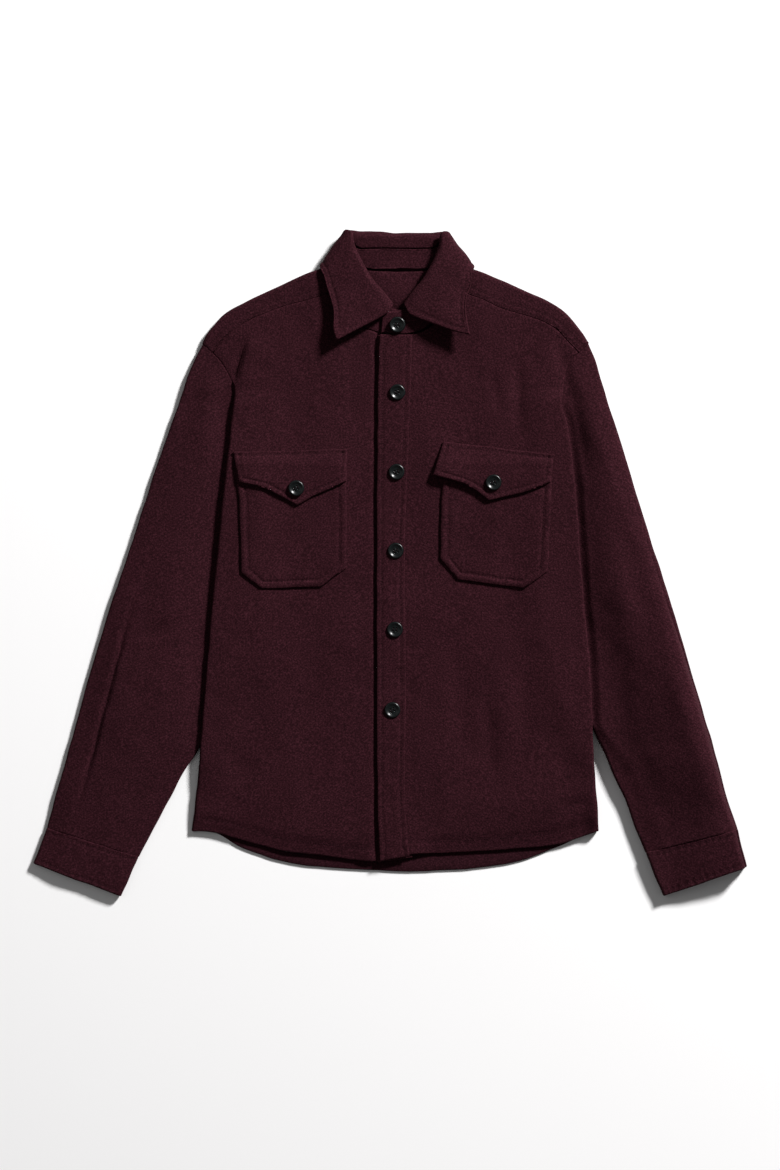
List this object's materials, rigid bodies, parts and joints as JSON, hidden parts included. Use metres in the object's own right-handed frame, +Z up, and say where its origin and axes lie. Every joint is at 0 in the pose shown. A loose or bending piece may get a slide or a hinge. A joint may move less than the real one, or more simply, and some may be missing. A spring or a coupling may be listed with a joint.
{
  "type": "shacket",
  "caption": "Button-front wool shirt jacket with collar and flapped chest pockets, laid flat on its back with the sleeves down at its sides.",
  "frame": {"origin": "middle of the garment's box, on the surface that it lies on", "axes": "+X across the garment towards the wearer's left sleeve, +Y towards the collar, +Z up from the floor"},
  "size_m": [0.87, 0.8129, 0.0255],
  "materials": {
    "wool": "brushed heathered wool twill, dark burgundy",
    "wool_inside": "inner face of the same wool, slightly flatter nap",
    "button": "polished black four-hole button with a faint green cast"
  },
  "bodies": {
    "root": {"back": "wool_inside", "back_yoke": "wool", "front_right": "wool", "front_left": "wool", "front_band": "wool", "sleeve_right": "wool", "sleeve_left": "wool", "cuff_right": "wool", "cuff_left": "wool", "collar_stand": "wool", "collar_fall": "wool", "pocket_right": "wool", "pocket_left": "wool", "flap_right": "wool", "flap_left": "wool", "button_front_1": "button", "button_front_2": "button", "button_front_3": "button", "button_front_4": "button", "button_front_5": "button", "button_front_6": "button", "button_flap_right": "button", "button_flap_left": "button"}
  },
  "joints": []
}
